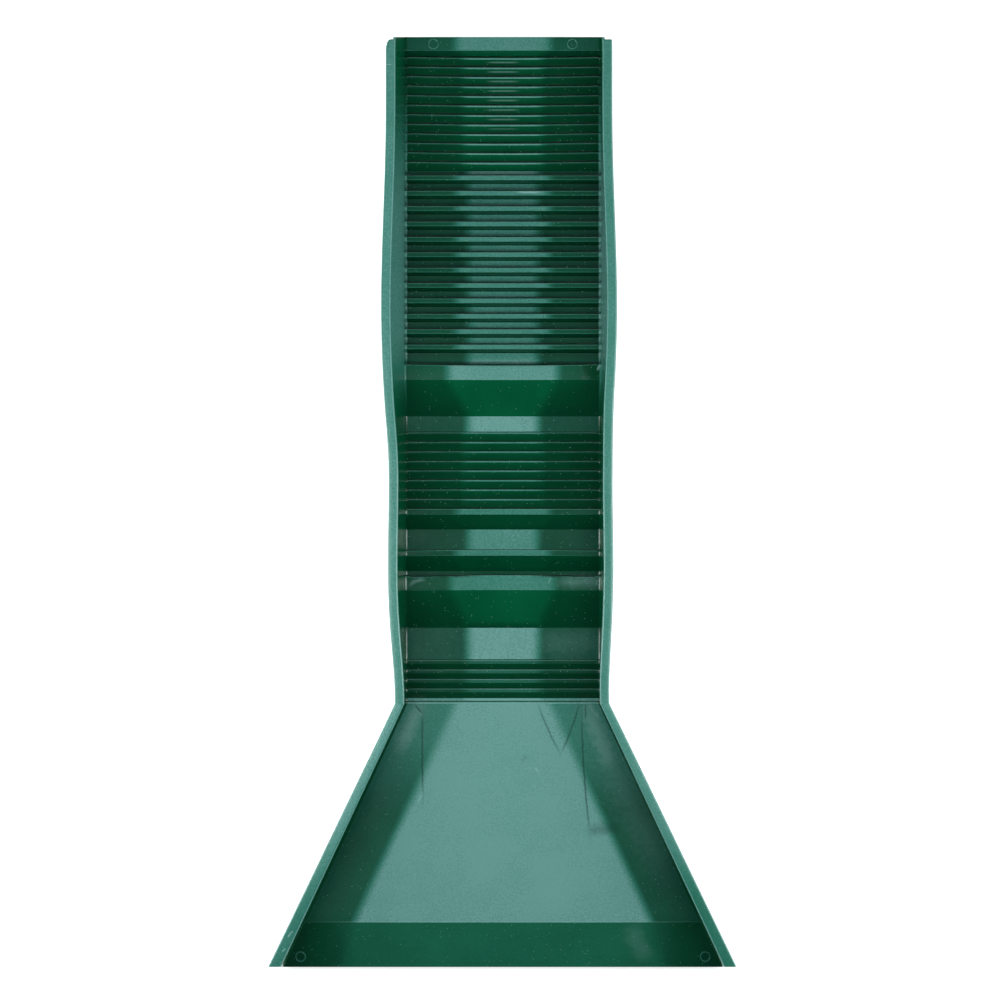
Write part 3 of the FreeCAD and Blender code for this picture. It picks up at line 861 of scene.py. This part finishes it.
def green_plastic():
    """Glossy dark green plastic with moulding grain, specks and scuffs, and painted sheen, highlights
    and shade.
    """
    material = bpy.data.materials.new("green_plastic")
    material.use_nodes = True
    tree = material.node_tree
    place = tree.nodes.new("ShaderNodeTexCoord").outputs["Object"]
    spot = add_node(tree, "ShaderNodeSeparateXYZ", Vector=place).outputs
    facing = tree.nodes.new("ShaderNodeNewGeometry").outputs["Normal"]
    up = add_node(tree, "ShaderNodeSeparateXYZ", Vector=facing).outputs["Z"]
    depth = maths(tree, "SUBTRACT", RIM_TOP, spot["Z"])
    fold = attribute(tree, "fold")
    clouds = noise(tree, place, 14.0, 3.0)
    grain = ramp(tree, noise(tree, place, 430.0), 0.3, 0.7)
    middle = middle_mask(tree, spot, depth)
    painted_sheen = painted_sheen_mask(tree, spot, up, middle, fold, clouds, grain)
    dark = all_marks(tree, place, SHADE_MARKS)

    colour = blend(tree, ramp(tree, clouds, 0.3, 0.7), *GREENS)
    # Painted shade beside the walls, in the troughs and in sunk folds.
    colour = blend(tree, painted_shade_mask(tree, up, middle, depth, fold), colour, SHADED_GREEN)
    # Painted sheen, thin and then full.
    colour = blend(tree, ramp(tree, painted_sheen, *THIN_SHEEN_RANGE), colour, THIN_SHEEN)
    colour = blend(tree, ramp(tree, painted_sheen, *FULL_SHEEN_RANGE), colour, FULL_SHEEN)
    speck = maths(tree, "MAXIMUM", specks(tree, place, 330.0, 0.12, 0.20),
                  specks(tree, place, 120.0, 0.06, 0.09))
    colour = blend(tree, maths(tree, "MULTIPLY", speck, SPECK_STRENGTH), colour, SPECK)
    # Scuffs and stress marks, with painted sheen and painted highlights.
    colour = blend(tree, all_marks(tree, place, SCUFF_AND_SHEEN_MARKS), colour, PALE_GREY)
    # Painted shade marks along creases and behind the crests.
    colour = blend(tree, dark, colour, SHADE_MARK_GREEN)
    # Painted highlights on the tail ribs.
    colour = blend(tree, glints(tree, spot), colour, PALE_GREY)

    rough = maths(tree, "ADD", scaled(tree, clouds, 0.08, 0.17), maths(tree, "MULTIPLY", painted_sheen, 0.08))
    waves = maths(tree, "MULTIPLY", noise(tree, place, 22.0, 1.0), 0.30 * MM)
    height = maths(tree, "ADD", maths(tree, "MULTIPLY", grain, 0.02 * MM), waves)
    height = maths(tree, "SUBTRACT", height, maths(tree, "MULTIPLY", dark, 0.15 * MM))
    bump = add_node(tree, "ShaderNodeBump", Height=height, Strength=0.7, Distance=1.0)
    shader = tree.nodes["Principled BSDF"]
    shader.inputs["IOR"].default_value = 1.5
    shader.inputs["Specular IOR Level"].default_value = 0.3
    tree.links.new(colour, shader.inputs["Base Color"])
    tree.links.new(rough, shader.inputs["Roughness"])
    tree.links.new(bump.outputs["Normal"], shader.inputs["Normal"])
    return material


def plain_material(name, **inputs):
    """A material whose shader has only its named inputs set."""
    material = bpy.data.materials.new(name)
    material.use_nodes = True
    set_inputs(material.node_tree, material.node_tree.nodes["Principled BSDF"], inputs)
    return material


def white_floor():
    """A pale floor that glows a little, as a lit table does."""
    return plain_material("white_floor", Base_Color=(0.8, 0.8, 0.8, 1.0), Roughness=0.9,
                          Specular_IOR_Level=0.1, Emission_Color=(1.0, 1.0, 1.0, 1.0),
                          Emission_Strength=0.8)


def white_glow():
    """Plain white light, for what a low view shows beneath the level of the floor."""
    material = plain_material("white_glow", Base_Color=(0.0, 0.0, 0.0, 1.0), Specular_IOR_Level=0.0,
                              Emission_Color=(1.0, 1.0, 1.0, 1.0), Emission_Strength=1.0)
    material.cycles.emission_sampling = "NONE"
    return material


PLASTIC = green_plastic()


# ------------------------------------------------------------------ the tray
def build_tray():
    """Every piece of the tray, one for each CAD node."""
    rings = ring_marks()
    for zone in FLOOR_ZONES:
        bm = floor_zone(zone)
        if zone in rings:
            for side in (-1, 1):
                add_ring(bm, side, *rings[zone])
        finish_piece(zone, bm)
    for name, side in (("left", -1), ("right", 1)):
        finish_piece("flare_wall_" + name, wall(side, "entry_lip", "flare_floor"))
        finish_piece("channel_wall_" + name, wall(side, "throat_drop", "outlet_lip"))
        finish_piece("flare_rim_" + name, rim(side, FRONT_Y, THROAT_Y))
        finish_piece("channel_rim_" + name, rim(side, THROAT_Y, RIM_END_Y))


# ------------------------------------------------------------------ stage
FLOOR_SIZE = 80
FLOOR_GAP = 0.2 * MM         # between the tray's underside and the floor
UNDER_FLOOR_DEPTH = 1.2
SIDE_BOXES = (("left", -1, 40), ("right", 1, 38))   # name, side, and elevation in degrees
SIDE_AIM = (0, -0.1, 0)
SIDE_DISTANCE = 1.6
SIDE_POWER = 29
SIDE_COLOUR = (0.88, 1.0, 0.98)
TOP_POWER = 1.6
TOP_COLOUR = (0.3, 0.88, 1.0)
REAR_POWER = 12
WORLD_COLOUR = (0.6, 0.9, 1.0, 1.0)
WORLD_STRENGTH = 0.05
PICTURE_WIDTH = 1.3656
CAMERA_AIM = (-4.1 * MM, 2.7 * MM, 0)
CAMERA_DISTANCE = 4
CAMERA_TILT = math.radians(0.6)


def level_plane(name, z, material):
    """A level surface of the stage, as wide as the lowest views reach."""
    bpy.ops.mesh.primitive_plane_add(size=FLOOR_SIZE, location=(0, 0, z))
    plane = bpy.context.object
    plane.name = name
    plane.data.materials.append(material)


def floor():
    """The floor, and a white surface below it for low views, which start under the floor."""
    level_plane("studio_floor", -FLOOR_GAP, white_floor())
    level_plane("studio_under_floor", -UNDER_FLOOR_DEPTH, white_glow())


def softbox(name, place, aim, size, power, colour):
    """A rectangular lamp at a place, facing a point."""
    light = bpy.data.lights.new(name, "AREA")
    light.shape = "RECTANGLE"
    light.size, light.size_y = size
    light.energy = power
    light.color = colour
    lamp = bpy.data.objects.new(name, light)
    bpy.context.collection.objects.link(lamp)
    lamp.location = place
    lamp.rotation_euler = (Vector(aim) - Vector(place)).to_track_quat("-Z", "X").to_euler()


def lights():
    """A long low softbox on each side, a weak panel straight above and a strip behind."""
    for name, side, elevation in SIDE_BOXES:
        angle = math.radians(elevation)
        place = (side * SIDE_DISTANCE * math.cos(angle), SIDE_AIM[1], SIDE_DISTANCE * math.sin(angle))
        softbox("softbox_" + name, place, SIDE_AIM, (2.6, 0.16), SIDE_POWER, SIDE_COLOUR)
    softbox("top_panel", (0, 0, 2.6), (0, 0, 0), (1.3, 1.3), TOP_POWER, TOP_COLOUR)
    softbox("rear_strip", (0, 1.4, 1.6), (0, 0, 0), (0.1, 1.8), REAR_POWER, (1.0, 1.0, 1.0))
    world = bpy.data.worlds.new("studio")
    world.use_nodes = True
    world.node_tree.nodes["Background"].inputs["Color"].default_value = WORLD_COLOUR
    world.node_tree.nodes["Background"].inputs["Strength"].default_value = WORLD_STRENGTH
    bpy.context.scene.world = world


def camera():
    """Almost straight above, far away, with the outlet at the top of the picture."""
    data = bpy.data.cameras.new("camera")
    data.type = "ORTHO"
    data.ortho_scale = PICTURE_WIDTH
    body = bpy.data.objects.new("camera", data)
    bpy.context.collection.objects.link(body)
    away = Vector((math.sin(CAMERA_TILT), 0, math.cos(CAMERA_TILT)))
    body.location = Vector(CAMERA_AIM) + CAMERA_DISTANCE * away
    body.rotation_euler = (0, CAMERA_TILT, 0)
    bpy.context.scene.camera = body
    bpy.context.scene.view_settings.view_transform = "Standard"


build_tray()
floor()
lights()
camera()
bpy.context.view_layer.update()
